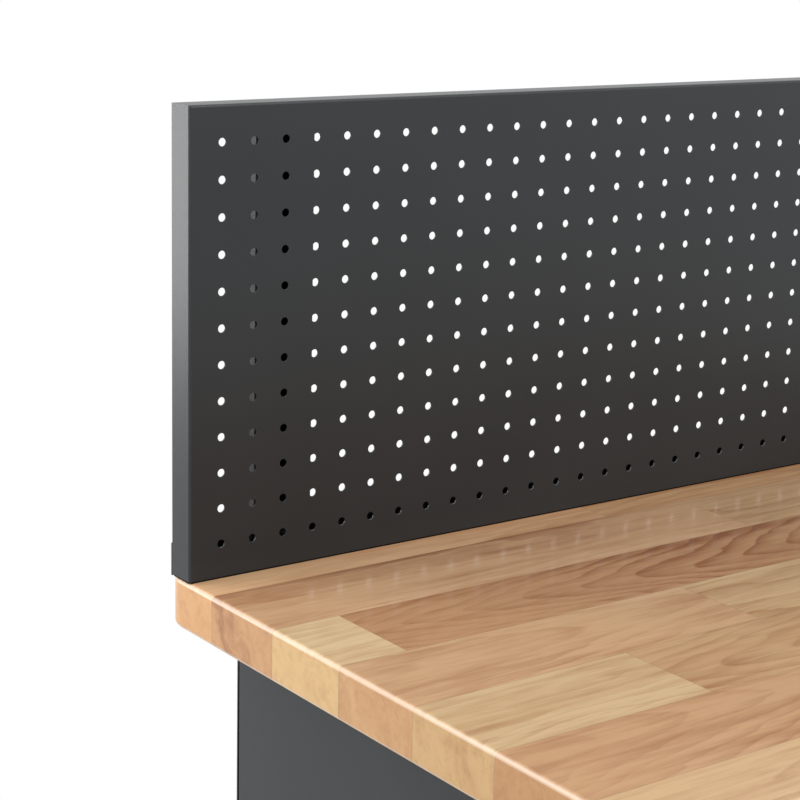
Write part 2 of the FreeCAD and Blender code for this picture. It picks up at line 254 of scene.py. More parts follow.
def newLook(name):
    # a material, its node tree, its shader and the coordinates that its patterns read
    look = bpy.data.materials.new(name)
    look.use_nodes = True
    tree = look.node_tree
    return look, tree, tree.nodes["Principled BSDF"], tree.nodes.new("ShaderNodeTexCoord").outputs


def fed(tree, node, inputs):
    # each input by its name or number: a socket is linked, a number or colour is set on it
    for slot, value in inputs.items():
        target = node.inputs[slot]
        if isinstance(value, bpy.types.NodeSocket):
            tree.links.new(value, target)
        else:
            target.default_value = (*value, 1.0) if target.type == "RGBA" else value
    return node


def wired(tree, kind, inputs, **settings):
    # a new node of the kind with these settings and inputs
    node = tree.nodes.new("ShaderNode" + kind)
    for key, value in settings.items():
        setattr(node, key, value)
    return fed(tree, node, inputs)


def noiseOf(tree, coords, scale, detail=2.0, stretch=None, rough=0.5):
    # noise of this scale per metre, multiplied along each axis by its stretch
    if stretch is not None:
        coords = wired(tree, "Mapping", {"Vector": coords, "Scale": stretch}).outputs[0]
    inputs = {"Vector": coords, "Scale": scale, "Detail": detail, "Roughness": rough}
    return wired(tree, "TexNoise", inputs).outputs["Fac"]


def ranged(tree, value, low, high, toLow, toHigh, smooth=False):
    # carries low to toLow and high to toHigh, held there beyond; smooth eases in and out
    inputs = {"Value": value, "From Min": low, "From Max": high, "To Min": toLow, "To Max": toHigh}
    kind = "SMOOTHSTEP" if smooth else "LINEAR"
    return wired(tree, "MapRange", inputs, interpolation_type=kind).outputs["Result"]


def maths(tree, kind, *values):
    # one sum, product or other step of numbers and sockets
    return wired(tree, "Math", dict(enumerate(values)), operation=kind).outputs["Value"]


def mixed(tree, share, first, second, kind="MIX"):
    # first * (1 - share) + second * share, or first * second for MULTIPLY at a share of 1; the
    # colours of a Mix node are its inputs 6 and 7 and its output 2
    inputs = {0: share, 6: first, 7: second}
    return wired(tree, "Mix", inputs, data_type="RGBA", blend_type=kind).outputs[2]


def parted(tree, socket, kind="XYZ"):
    # the three numbers of a vector or colour
    return wired(tree, "Separate" + kind, {0: socket}).outputs


def picked(tree, value, colours):
    # one colour of the list: number k for values from k / count to (k + 1) / count
    ramp = tree.nodes.new("ShaderNodeValToRGB")
    ramp.color_ramp.interpolation = "CONSTANT"
    stops = ramp.color_ramp.elements
    while len(stops) > 1:
        stops.remove(stops[-1])
    stops[0].position, stops[0].color = 0.0, (*colours[0], 1)
    for k, colour in enumerate(colours[1:], 1):
        stops.new(k / len(colours)).color = (*colour, 1)
    tree.links.new(value, ramp.inputs["Fac"])
    return ramp.outputs["Color"]


def bumped(tree, height, depth):
    # a normal tilted by the slope of the height times the depth in metres
    return wired(tree, "Bump", {"Height": height, "Distance": depth, "Strength": 1.0}).outputs["Normal"]


def surfaced(tree, shader, colour, grain, rough, spread, depth, more):
    # the grain carries roughness from rough - spread to rough + spread, and gives the bump; more
    # holds the shader's other inputs
    roughness = ranged(tree, grain, *noiseMiddle, rough - spread, rough + spread)
    inputs = {"Base Color": colour, "Roughness": roughness, "Normal": bumped(tree, grain, depth)}
    fed(tree, shader, inputs | more)


coat = {"peelScale": 700.0, "peelDepth": 0.00003, "patchScale": 9.0, "roughSpread": 0.03}
brushing = {"scale": 900.0, "darker": 0.86, "roughSpread": 0.06, "depth": 0.00002}
moulding = {"scale": 1400.0, "detail": 3.0, "lighter": 1.25, "roughSpread": 0.05, "depth": 0.00004}


def powderCoat(name, dark, light, rough=0.36, specular=0.48):
    # colour from dark to light by broad noise, roughness and bump by fine orange peel
    look, tree, shader, coords = newLook(name)
    peel = noiseOf(tree, coords["Object"], coat["peelScale"])
    broad = noiseOf(tree, coords["Object"], coat["patchScale"])
    colour = mixed(tree, ranged(tree, broad, *noiseMiddle, 0, 1), dark, light)
    surfaced(tree, shader, colour, peel, rough, coat["roughSpread"], coat["peelDepth"],
             {"Specular IOR Level": specular})
    return look


def metal(name, colour, rough, stretch=(1, 1, 1)):
    # clean metal, from a darker tone to its own by the grain; a stretch below 1 draws out its lines
    look, tree, shader, coords = newLook(name)
    grain = noiseOf(tree, coords["Object"], brushing["scale"], 2.0, stretch)
    darker = tuple(c * brushing["darker"] for c in colour)
    colour = mixed(tree, ranged(tree, grain, *noiseMiddle, 0, 1), darker, colour)
    surfaced(tree, shader, colour, grain, rough, brushing["roughSpread"], brushing["depth"],
             {"Metallic": 1.0})
    return look


def plastic(name, colour, rough, specular=0.5):
    # from its own colour to a lighter one by a very fine grain
    look, tree, shader, coords = newLook(name)
    grain = noiseOf(tree, coords["Object"], moulding["scale"], moulding["detail"])
    colour = mixed(tree, grain, colour, tuple(c * moulding["lighter"] for c in colour))
    surfaced(tree, shader, colour, grain, rough, moulding["roughSpread"], moulding["depth"],
             {"Specular IOR Level": specular})
    return look


woodFinish = {
    "firstLine": 0.186, "staveWidth": 0.0765,   # rearmost glue line and the width of a stave, along Y
    "staves": [   # from the rear: both end joints along X, then the colour of each of three blocks
        ((-0.10, 0.31), ((0.76, 0.466, 0.253), (0.67, 0.400, 0.205), (0.67, 0.433, 0.239))),
        ((-0.02, 0.26), ((0.65, 0.394, 0.217), (0.63, 0.400, 0.217), (0.58, 0.344, 0.177))),
        ((-0.405, 0.05), ((0.77, 0.561, 0.319), (0.55, 0.300, 0.150), (0.65, 0.433, 0.239))),
        ((-0.17, 0.18), ((0.65, 0.400, 0.217), (0.66, 0.444, 0.239), (0.58, 0.344, 0.177))),
        ((-0.29, 0.33), ((0.68, 0.477, 0.262), (0.60, 0.372, 0.194), (0.64, 0.411, 0.217))),
        ((-0.06, 0.22), ((0.59, 0.344, 0.177), (0.69, 0.466, 0.257), (0.60, 0.377, 0.194))),
        ((-0.24, 0.11), ((0.66, 0.433, 0.228), (0.58, 0.355, 0.188), (0.67, 0.444, 0.245))),
    ],
    # where each block's pith line lies (across, in depth) and how fast its log tapers, 0 to 1 each
    "piths": [
        ((0.80, 1.00, 0.52), (0.20, 0.30, 0.46), (0.60, 0.70, 0.38)),
        ((0.04, 0.00, 0.54), (0.90, 0.20, 0.42), (0.50, 0.60, 0.66)),
        ((0.95, 0.10, 0.48), (0.56, 0.80, 0.92), (0.15, 0.40, 0.42)),
        ((0.50, 0.66, 0.34), (0.85, 0.30, 0.54), (0.35, 0.80, 0.64)),
        ((0.10, 0.50, 0.58), (0.60, 0.76, 0.84), (0.90, 0.20, 0.46)),
        ((0.45, 0.78, 0.20), (0.05, 0.30, 0.50), (0.55, 0.72, 0.80)),
        ((0.80, 0.20, 0.54), (0.52, 0.75, 0.35), (0.15, 0.60, 0.50)),
    ],
    "pithReach": [(-0.10, 0.15), (-0.08, 0.05), (-0.25, 0.25)],   # what 0 and 1 above stand for
    # how strongly each block shows its growth rings
    "ringShow": [(0.35, 0.80, 0.80), (0.50, 0.60, 0.90), (0.45, 1.70, 0.70), (0.60, 0.90, 0.80),
                 (0.50, 0.80, 0.90), (0.80, 0.60, 1.00), (0.70, 0.90, 0.60)],
    # darker and lighter bands: stave, part of its width, reach along X, colour factor, amount
    "bands": [
        (0, (0.88, 1.2), (-0.60, -0.22), (1.12, 1.13, 1.15), 0.90),
        (1, (-0.1, 0.11), (-0.60, -0.08), (0.62, 0.45, 0.37), 1.0),
        (1, (0.17, 0.30), (-0.60, -0.12), (0.70, 0.55, 0.47), 0.80),
        (1, (0.88, 1.2), (-0.44, 0.30), (1.14, 1.20, 1.28), 0.80),
        (2, (-0.1, 0.14), (-0.39, 0.04), (0.72, 0.56, 0.46), 0.60),
        (3, (-0.1, 0.10), (-0.60, 0.30), (1.12, 1.20, 1.30), 0.75),
        (0, (0.50, 0.72), (-0.33, 0.20), (0.86, 0.66, 0.55), 0.60),
        (0, (0.86, 1.2), (-0.25, 0.10), (0.80, 0.62, 0.52), 0.50),
        (4, (0.35, 0.60), (-0.60, -0.05), (0.80, 0.65, 0.55), 0.45),
        (5, (0.70, 1.2), (-0.30, 0.50), (0.78, 0.62, 0.52), 0.50),
    ],
    "lean": 0.8,                       # how far a band shifts forward for its depth below the top
    "bandWander": (0.50, 0.35, 0.35),  # of its edges, by the ripple, the waver and the wiggle
    "bandSoft": (0.06, 0.05),          # softness of its edges across the stave and along X
    "bandBase": 0.65,                  # share of a band that shows between streaks
    # scale per metre, detail, stretch along X, Y and Z, roughness of each noise
    "noises": {
        "waver": (7.0, 2.0, (0.5, 1.5, 1.5)), "ripple": (45.0, 2.0, (0.12, 1, 1)),
        "wiggle": (60.0, 3.0, (0.35, 1, 1)), "streak": (75.0, 3.0, (0.07, 1, 1), 0.6),
        "patch": (14.0, 2.0, (0.3, 1, 1)), "fibre": (270.0, 3.0, (0.07, 1, 1), 0.65),
        "figure": (120.0, 3.0, (0.16, 1, 1), 0.65), "cloud": (30.0, 3.0, (0.3, 1, 1), 0.6),
        "pores": (700.0, 2.0, (0.04, 1, 1)),
    },
    "blockSeed": 0.37, "blockSpread": 5.0,
    "ringGap": 0.0105,                 # between growth rings
    "ringPower": 2.2, "ringEnd": 0.93, "faintRing": 0.3,
    "waverReach": 0.075, "rippleReach": 0.014, "wiggleReach": 0.009,   # wander of the rings
    "streakRange": (0.42, 0.72), "patchRange": (0.35, 0.65), "endFacing": (0.6, 0.9),
    "ringTone": 0.80, "streakTone": 0.42, "fibreTone": 0.80, "figureTone": 0.75, "cloudTone": 0.9,
    "endTone": 0.55, "lateWood": (0.62, 0.46, 0.36), "endGrain": (0.99, 0.87, 0.67),
    "poreRange": (0.66, 0.74), "poreShare": 0.5, "poreColour": (0.25, 0.12, 0.06),
    "seamRange": (0.00015, 0.0005), "seamShare": 0.35, "glueColour": (0.2, 0.1, 0.05),
    # paler eased rims: partly sanded wood, partly a painted highlight
    "sandHighlightFrom": (0.05, 0.45), "sandHighlightTo": (0.75, 0.97), "sandHighlightColour": (0.95, 0.79, 0.64),
    "rimPaleHighlight": 0.45, "rimFacing": (0.80, 0.985), "grainDepth": 0.00005, "fibreHeight": 0.5,
    "lacquer": 0.7, "rimLacquer": 0.50, "lacquerRough": 0.16,
    "rough": 0.38, "endRough": 0.50, "roughSpread": (-0.04, 0.06),
}


def rubberwood(name, spec):
    # staves lie side by side along X, each of three blocks end to end. Every block is cut from a
    # log of its own: rings = (distance to its pith line - taper * x) / ring gap, so the grain
    # above and the rings at the ends belong together
    look, tree, shader, coords = newLook(name)
    do, span, blend = partial(maths, tree), partial(ranged, tree), partial(mixed, tree)
    plus, minus, times = (partial(do, kind) for kind in ("ADD", "SUBTRACT", "MULTIPLY"))
    x, y, z = parted(tree, coords["Object"])
    facing = parted(tree, coords["Normal"])
    staves, width = picks(spec, "staves staveWidth")
    blocks = len(staves[0][1])
    # stave 0 lies behind the first glue line, the others follow towards the front
    across = do("DIVIDE", minus(spec["firstLine"] + width, y), width)
    stave = do("MINIMUM", do("FLOOR", across), len(staves) - 1.0)
    inStave = do("FRACT", across)
    # a colour holds both joints of a stave, moved by half a metre, since it can't be negative
    joints = picked(tree, do("DIVIDE", plus(stave, 0.5), len(staves)),
                    [(j[0] + 0.5, j[1] + 0.5, 0.0) for j, _ in staves])
    moved = plus(x, 0.5)
    fromFirst, fromSecond = (minus(moved, joint) for joint in parted(tree, joints, "Color")[:2])
    block = plus(do("GREATER_THAN", fromFirst, 0.0), do("GREATER_THAN", fromSecond, 0.0))
    cell = plus(times(stave, blocks), block)
    cellShare = do("DIVIDE", plus(cell, 0.5), blocks * len(staves))

    def perBlock(rows):
        # each block's own entry, from rows of three for each stave
        return picked(tree, cellShare, [entry for three in rows for entry in three])

    blockColour = perBlock([colours for _, colours in staves])
    # each block's own piece of wood: its coordinates are carried far off by numbers of its own
    seed = {"W": plus(cell, spec["blockSeed"])}
    hashed = wired(tree, "TexWhiteNoise", seed, noise_dimensions="1D").outputs["Color"]
    offset = {0: hashed, "Scale": spec["blockSpread"]}
    offset = wired(tree, "VectorMath", offset, operation="SCALE").outputs[0]
    carried = wired(tree, "VectorMath", {0: coords["Object"], 1: offset}).outputs[0]
    noise = {key: noiseOf(tree, carried, *given) for key, given in spec["noises"].items()}
    waver, ripple, wiggle = (minus(noise[key], 0.5) for key in ("waver", "ripple", "wiggle"))
    shake = plus(times(waver, spec["waverReach"]), times(ripple, spec["rippleReach"]))
    shake = plus(shake, times(wiggle, spec["wiggleReach"]))
    pithY, pithZ, taper = (
        span(value, 0, 1, *reach)
        for value, reach in zip(parted(tree, perBlock(spec["piths"]), "Color"), spec["pithReach"])
    )
    dy = plus(minus(times(inStave, width), pithY), shake)
    dz = minus(minus(z, topLow.z), pithZ)
    radius = do("SQRT", plus(times(dy, dy), times(dz, dz)))
    radius = plus(minus(radius, times(taper, x)), 1.0)   # a whole metre more keeps it above zero
    # each ring darkens slowly and ends at once
    ring = do("FRACT", do("DIVIDE", radius, spec["ringGap"]))
    ring = times(do("POWER", ring, spec["ringPower"]), span(ring, spec["ringEnd"], 1.0, 1, 0, True))
    streak = span(noise["streak"], *spec["streakRange"], 0, 1, True)
    patch = span(noise["patch"], *spec["patchRange"], 0, 1, True)
    atEnd = span(do("ABSOLUTE", facing["X"]), *spec["endFacing"], 0, 1, True)
    strong = spec["ringTone"]
    rings = times(ring, span(patch, 0, 1, spec["faintRing"] * strong, strong))
    rings = times(rings, perBlock([[(k, k, k) for k in three] for three in spec["ringShow"]]))
    tone = plus(rings, times(streak, spec["streakTone"]))
    for key in ("fibre", "figure", "cloud"):
        tone = plus(tone, times(minus(noise[key], 0.5), spec[key + "Tone"]))
    tone = times(tone, span(atEnd, 0, 1, 1.0, spec["endTone"]))
    colour = blend(tone, blockColour, blend(1.0, blockColour, spec["lateWood"], "MULTIPLY"))

    def window(value, start, end, soft):
        # 1 from start to end, with a smooth slope of twice the softness at either side
        rising = span(value, start - soft, start + soft, 0, 1, True)
        return times(rising, span(value, end - soft, end + soft, 1, 0, True))

    # bands run along their stave, shifted forward with depth, with edges that waver
    byRipple, byWaver, byWiggle = spec["bandWander"]
    leaned = minus(inStave, times(minus(topHigh.z, z), spec["lean"] / width))
    leaned = plus(leaned, plus(times(ripple, byRipple), times(waver, byWaver)))
    leaned = plus(leaned, times(wiggle, byWiggle))
    softAcross, softAlong = spec["bandSoft"]
    for number, part, reach, factor, amount in spec["bands"]:
        mask = times(window(leaned, *part, softAcross), window(x, *reach, softAlong))
        mask = times(mask, do("COMPARE", stave, number, sameNumber))
        mask = times(mask, span(streak, 0, 1, spec["bandBase"] * amount, amount))
        colour = blend(mask, colour, blend(1.0, colour, factor, "MULTIPLY"))
    # the sawn ends are deeper in colour than the top
    colour = blend(atEnd, colour, blend(1.0, colour, spec["endGrain"], "MULTIPLY"))
    # short dark vessel lines along the grain
    dashes = times(span(noise["pores"], *spec["poreRange"], 0, spec["poreShare"]), patch)
    colour = blend(dashes, colour, spec["poreColour"])
    # hairline glue joints between staves and between blocks
    sideGap = times(minus(0.5, do("ABSOLUTE", minus(inStave, 0.5))), width)
    endGap = do("MINIMUM", do("ABSOLUTE", fromFirst), do("ABSOLUTE", fromSecond))
    seam = span(do("MINIMUM", sideGap, endGap), *spec["seamRange"], 1, 0, True)
    colour = blend(times(seam, spec["seamShare"]), colour, spec["glueColour"])
    # the rims are paler: partly the sanded wood's own colour, partly a painted highlight along the eased
    # edges
    level = do("ABSOLUTE", facing["Z"])
    sandHighlight = span(level, *spec["sandHighlightFrom"], 0, 1, True)
    sandHighlight = times(sandHighlight, span(level, *spec["sandHighlightTo"], 1, 0, True))
    colour = blend(times(sandHighlight, spec["rimPaleHighlight"]), colour, spec["sandHighlightColour"])
    # the lacquer sinks into the sawn ends and wears thin on the rims
    onRim = span(level, *spec["rimFacing"], 1, 0, True)
    roughEnds = (spec["rough"] + more for more in spec["roughSpread"])
    rough = span(noise["fibre"], *noiseMiddle, *roughEnds)
    rough = plus(rough, times(onRim, spec["endRough"] - spec["rough"]))
    height = minus(times(noise["fibre"], spec["fibreHeight"]), seam)
    coating = span(onRim, 0, 1, spec["lacquer"], spec["rimLacquer"])
    fed(tree, shader, {
        "Base Color": colour, "Roughness": rough, "Normal": bumped(tree, height, spec["grainDepth"]),
        "Coat Weight": coating, "Coat Roughness": spec["lacquerRough"],
    })
    return look


sheetTones = ((0.0094, 0.0122, 0.0146), (0.0122, 0.0152, 0.0178))   # darkest and lightest
panelPaint = powderCoat("panel powder coat", *sheetTones)
cabinetPaint = powderCoat("cabinet powder coat", *sheetTones)
drawerPaint = powderCoat("drawer powder coat", (0.0103, 0.0130, 0.0152), (0.0134, 0.0163, 0.0187))
# inside and behind, thinner and duller
channelPaint = powderCoat("channel powder coat", (0.013, 0.0132, 0.0136), (0.016, 0.0162, 0.0167), 0.5, 0.3)
# painted shade: a near-black, dull finish for the strip that draws the dark shade line under the panel's
# lower edges
shadeStripBlack = plastic("painted shade strip", (0.003, 0.003, 0.003), 0.85, 0.1)
looks = {
    "wooden_top": rubberwood("lacquered rubberwood", woodFinish),
    "panel_paint": panelPaint, "cabinet_paint": cabinetPaint, "drawer_paint": drawerPaint,
    "pulls": metal("anodised pulls", (0.62, 0.62, 0.63), 0.34, (0.02, 1, 1)),
    "zinc": metal("zinc plate", (0.60, 0.61, 0.63), 0.3),
    "fasteners": metal("bolt steel", (0.16, 0.16, 0.17), 0.42),
    "lock": metal("lock chrome", (0.72, 0.72, 0.74), 0.16),
    "foot_plastic": plastic("foot plastic", (0.018, 0.018, 0.018), 0.6),
}
print("finishes made")

slotOf = {s["node"]: s["material_slot"] for s in frame["record"]["subparts"]}
for nodeName, nodeObject in frame["nodes"].items():
    nodeObject.data.materials.clear()
    nodeObject.data.materials.append(looks[slotOf[nodeName]])


topBoard = {"edge": 0.0038, "steps": 5, "corner": 0.025, "cornerSteps": 20}

newPiece("wooden_top", softBox(*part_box("worktop"), **topBoard), "wooden_top", "worktop", sharp=roundedSharp)
print("wooden top made")


perforated = {
    "pitch": 0.0254, "holeRadius": 0.0029, "sheet": 0.0012, "bend": 0.002,
    "rearBend": 0.0003, "return": 0.012, "rimEase": 0.00012, "sides": 24,
    "lift": 0.0012,            # the sheet's face stops this far above the wood, over a near-black strip set back by this much, which paints the shade line there
    "strip": 0.0004,           # on a strip set back by this much
    "rearReach": 2.2,          # bends in front of the rear where the sides give way to the top
    "clear": 0.0001, "footEdge": 0.00005,
}


def holeGrid(spec):
    # columns and rows that leave half a pitch or more all round, and the left of the first cell
    pitch = spec["pitch"]
    columns, rows = (int(size / pitch - 0.5) for size in (2 * panelHigh.x, panelHigh.z - panelLow.z))
    return columns, rows, -columns * pitch / 2


def punchedPlate(spec, front, bottom):
    # square cells, each with a round hole: corner points on a grid, circle points at the hole's
    # centre plus radius times (cos, sin), in four rings through the sheet
    columns, rows, left = holeGrid(spec)
    pitch, r, t, ease, sides = picks(spec, "pitch holeRadius sheet rimEase sides")
    i, j = (n.ravel() for n in np.meshgrid(np.arange(columns), np.arange(rows), indexing="ij"))
    centreX, centreZ = left + (i + 0.5) * pitch, bottom + (j + 0.5) * pitch
    cells = columns * rows
    lowerLeft = np.radians(-135)   # where each circle starts
    turn = lowerLeft + np.arange(sides) * 2 * math.pi / sides
    rings = [
        place("xz", centreX[:, None] + radius * np.cos(turn), centreZ[:, None] + radius * np.sin(turn), y)
        for radius, y in ((r + ease, front), (r, front + ease), (r, front + t - ease), (r + ease, front + t))
    ]
    gx, gz = np.meshgrid(left + np.arange(columns + 1) * pitch, bottom + np.arange(rows + 1) * pitch,
                         indexing="ij")
    corners = [place("xz", gx, gz, y) for y in (front, front + t)]
    points = np.concatenate([part.reshape(-1, 3) for part in rings + corners])
    ringBase = np.arange(cells)[:, None] * sides
    k = np.arange(sides)[None, :]
    k2 = (k + 1) % sides
    faces = []
    for layer in range(len(rings) - 1):
        a, b = ringBase + layer * cells * sides, ringBase + (layer + 1) * cells * sides
        faces += np.stack([a + k, a + k2, b + k2, b + k], -1).reshape(-1, 4).tolist()
    # on both sides of the sheet, each edge of a cell is joined to a quarter of its circle
    cornerBase, tall = len(rings) * cells * sides, rows + 1
    second = (columns + 1) * tall
    cornerAt = [i * tall + j, (i + 1) * tall + j, (i + 1) * tall + j + 1, i * tall + j + 1]
    quarter = sides // 4
    for base, ringStart in ((cornerBase, 0), (cornerBase + second, cornerBase - cells * sides)):
        for q in range(4):
            c0, c1 = base + cornerAt[q], base + cornerAt[(q + 1) % 4]
            arc = (np.arange(quarter, -1, -1) + q * quarter) % sides
            loop = np.concatenate([c0[:, None], c1[:, None], ringStart + ringBase + arc[None, :]], 1)
            faces += loop.tolist()
    # the plate's own outline is closed by narrow walls
    up, along = np.arange(rows), np.arange(columns) * tall
    for starts, step in ((up, 1), (columns * tall + up, 1), (along, tall), (along + rows, tall)):
        a = cornerBase + starts
        faces += np.stack([a, a + step, a + step + second, a + second], -1).tolist()
    return points, faces


def perforatedPanel(spec):
    # the punched plate with folded borders: a section point is (outward offset past the flat,
    # depth), and is carried to rim + offset, so that sides and top meet in a mitre
    low, high = panelLow, panelHigh
    t, bend = picks(spec, "sheet bend")
    left = holeGrid(spec)[2]
    bottom, foot = low.z + spec["pitch"] / 2, low.z + spec["lift"]
    front, deep = low.y, high.y - low.y
    flat, rim = high.x - bend, high.z - bend
    line = [(-left - flat, 0), (bend, 0), (bend, deep), (bend - spec["return"], deep)]
    out, depth = bentSheet(line, t, [bend - t, spec["rearBend"] - t]).T
    atRear = depth > deep - spec["rearReach"] * bend
    ends = np.where(atRear, np.minimum(rim + out, high.z - t - spec["clear"]), rim + out)
    ends = np.where(atRear & (out > bend - hair), high.z, ends)
    side = ringSolid([place("xy", -flat - out, front + depth, z) for z in (foot, ends)])
    out, depth = bentSheet(line[:3], t, bend - t).T
    top = ringSolid([place("xy", s * (flat + out), front + depth, rim + out) for s in (-1, 1)])
    return together([
        punchedPlate(spec, front, bottom), withMirror(side), top,
        cutPlate((left, front, foot), (-left, front + t, bottom), spec["footEdge"]),
    ])


def shadeLineStrips(spec):
    # near-black strips under the sheet's lower edges, set back from its face: painted shade, standing for the
    # dark shade line along the panel's foot
    low, high = panelLow, panelHigh
    back, t, bend, edge = picks(spec, "strip sheet bend footEdge")
    level = low.z + spec["lift"] + spec["clear"]
    front = cutPlate((low.x + bend, low.y + back, low.z), (high.x - bend, low.y + back + t, level), edge)
    side = cutPlate((high.x - back - t, low.y + bend, low.z), (high.x - back, high.y - bend, level), edge)
    return together([front, withMirror(side)])


newPiece("pegboard_panel_sheet", perforatedPanel(perforated), "panel_paint", "pegboard_panel")
# painted shade: near-black strips set back under the panel's lower edges draw the dark shade line at its foot
newPiece("pegboard_shade_strip", shadeLineStrips(perforated), "foot_plastic", "pegboard_panel", look=shadeStripBlack)
print("perforated panel made")


# what stands behind the panel: two channels and the angle rail at its foot
panelBack = {
    "sheet": 0.0012, "railSheet": 0.0015, "bend": 0.001, "overlap": 0.002, "railReach": 0.0123,
    "tab": 0.034,                 # above this level the channels have their flanges
    "column": 2,                  # the column of holes, from 0 at the side, that a channel hides
}
fasteners = {
    "flat": 0.0045, "head": 0.003, "ease": 0.0004, "level": 0.014, "spread": 0.024,
    # radius and height of the points; the washer's radii are shares of the flat
    "washer": [(1.32, 0.0), (1.32, 0.0006), (1.26, 0.0008), (0.5, 0.0008), (0.5, 0.0)],
    "boltEnd": [(0.0025, 0.0), (0.0025, 0.0034), (0.0021, 0.0038)],
    "screwHead": [(0.0044, 0.0), (0.0044, 0.0006), (0.0041, 0.0014), (0.0033, 0.0021),
                  (0.0016, 0.0026), (0.0013, 0.0026), (0.0010, 0.0012)],
    "screwInset": 0.012, "screwShares": (-0.35, 0.0, 0.35), "underInset": 0.010, "underY": (-0.141, 0.141),
}


def stiffenerMiddle():
    # column k of the holes lies (columns - 1) / 2 - k pitches from the middle
    pitch = perforated["pitch"]
    return (holeGrid(perforated)[0] - 1) * pitch / 2 - panelBack["column"] * pitch


def stiffeners(spec):
    # a U section with its web at the rear, carried up; below the tab's level only the web goes on
    low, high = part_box("pegboard_stiffeners")
    t, bend = picks(spec, "sheet bend")
    x1, x0 = high.x, high.x - 2 * (high.x - stiffenerMiddle())
    level = topHigh.z + spec["tab"]
    plan = [(x1, low.y), (x1, high.y), (x0, high.y), (x0, low.y)]
    tab = cutPlate((x0 + bend, high.y - t, low.z), (x1 - bend, high.y, level + spec["overlap"]))
    return withMirror(together([sheetPiece("xy", plan, t, bend, level, high.z), tab]))


def footRail(spec):
    # an L section under the panel's rear; at both ends only its leg goes on
    low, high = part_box("pegboard_foot_rail")
    t, reach = spec["railSheet"], high.x - spec["railReach"]
    line = [(low.y, low.z), (high.y, low.z), (high.y, high.z)]
    end = cutPlate((reach, high.y - t, low.z), high)
    return together([sheetPiece("yz", line, t, spec["bend"], -reach, reach), withMirror(end)])


def hexBolt(x, z, near, far, spec):
    # head, nut, both washers and the bolt's end, along Y, each turned from its profile
    flat, thick, ease = picks(spec, "flat head ease")
    washer = [(flat * share, c) for share, c in spec["washer"]]
    return together([
        hexHead("xz", x, z, flat, near - thick, near, ease, up=False),
        hexHead("xz", x, z, flat, far, far + thick, ease),
        turned("xz", x, z, [(r, near - c) for r, c in washer], join=loopSolid),
        turned("xz", x, z, [(r, far + c) for r, c in washer], join=loopSolid),
        turned("xz", x, z, [(r, far + c) for r, c in spec["boltEnd"]], sides=16),
    ])


def allPanelBolts(spec):
    # two through each channel's tab, half the spread to either side of its middle
    z, rear = topHigh.z + spec["level"], panelHigh.y
    near, far = rear - panelBack["sheet"], rear + panelBack["railSheet"]
    return together([
        hexBolt(x + half * spec["spread"], z, near, far, spec)
        for x in (-stiffenerMiddle(), stiffenerMiddle()) for half in (-0.5, 0.5)
    ])


def allWoodScrews(spec):
    # three through the rail's foot, and four from below, through the sides' upper leaves; each is
    # a low domed head with a round recess, its flat side on the seat, up being 1 or -1
    side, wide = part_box("side_panel_right")[1], topHigh.x - topLow.x
    y, level = panelHigh.y - spec["screwInset"], topHigh.z + panelBack["railSheet"]
    seats = [(share * wide, y, level, 1) for share in spec["screwShares"]]
    seats += [(sign * (side.x - spec["underInset"]), y, side.z - panelBack["sheet"], -1)
              for sign in (-1, 1) for y in spec["underY"]]
    return together([
        turned("xy", x, y, [(r, seat + up * c) for r, c in spec["screwHead"]], sides=24)
        for x, y, seat, up in seats
    ])


newPiece("pegboard_stiffener_channels", stiffeners(panelBack), "panel_paint", "pegboard_stiffeners",
         look=channelPaint)
newPiece("pegboard_foot_angle", footRail(panelBack), "panel_paint", "pegboard_foot_rail")
newPiece("panel_bolt_set", allPanelBolts(fasteners), "fasteners", "panel_bolts")
newPiece("wood_screw_set", allWoodScrews(fasteners), "fasteners", "wood_screws")
print("panel's back made")


# the cabinet's sheets, all folded with small round bends
cabinet = {
    "sheet": 0.0012, "bend": 0.0012, "postReturn": 0.020, "flange": 0.020, "seam": 0.003,
    "swages": 3, "swageWidth": 0.060, "swageDepth": 0.006, "swageBend": 0.004, "shelf": 0.055,
    "railDepth": 0.018, "railLip": 0.008, "uprightLength": 0.040,
    "panLap": 0.002, "panGap": 0.003, "upstandFoot": 0.006,
}


def sideSheet(spec):
    # the left side: a section in plan, carried up, and two leaves along its ends
    low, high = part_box("side_panel_left")
    t, bend, seam, flange = picks(spec, "sheet bend seam flange")
    post, inner = low.y + spec["postReturn"], low.x + flange
    front = [(low.x, post), (low.x, low.y), (-opening, low.y), (-opening, post)]
    wall = [(inner, high.y), (low.x, high.y), (low.x, post)]
    upper = [(inner, high.z), (low.x, high.z), (low.x, high.z - seam)]
    return together([
        sheetPiece("xy", front, t, bend, low.z, high.z),
        sheetPiece("xy", wall, t, bend, low.z, high.z - seam),
        sheetPiece("xz", upper, t, bend, post, high.y),
        cutPlate((low.x + t, post, low.z + t), (inner, high.y, low.z + 2 * t)),
    ])


def backSheet(spec):
    # plan: a straight line with swages pressed out; the shelf under the wood is folded forward
    low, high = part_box("back_panel")
    t, rear = spec["sheet"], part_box("side_panel_left")[1].y + spec["sheet"]
    wide = spec["swageWidth"] / 2
    narrow = wide - spec["swageDepth"]
    line = [(high.x, rear)]
    for k in range(spec["swages"], 0, -1):
        x = low.x + (high.x - low.x) * k / (spec["swages"] + 1)
        line += [(x + wide, rear), (x + narrow, high.y), (x - narrow, high.y), (x - wide, rear)]
    line.append((low.x, rear))
    wall = sheetPiece("xy", line, t, spec["swageBend"], low.z, high.z)
    reach = high.x - spec["flange"]
    shelf = cutPlate((-reach, rear - spec["shelf"], high.z - t), (reach, rear - t, high.z))
    return together([wall, shelf])


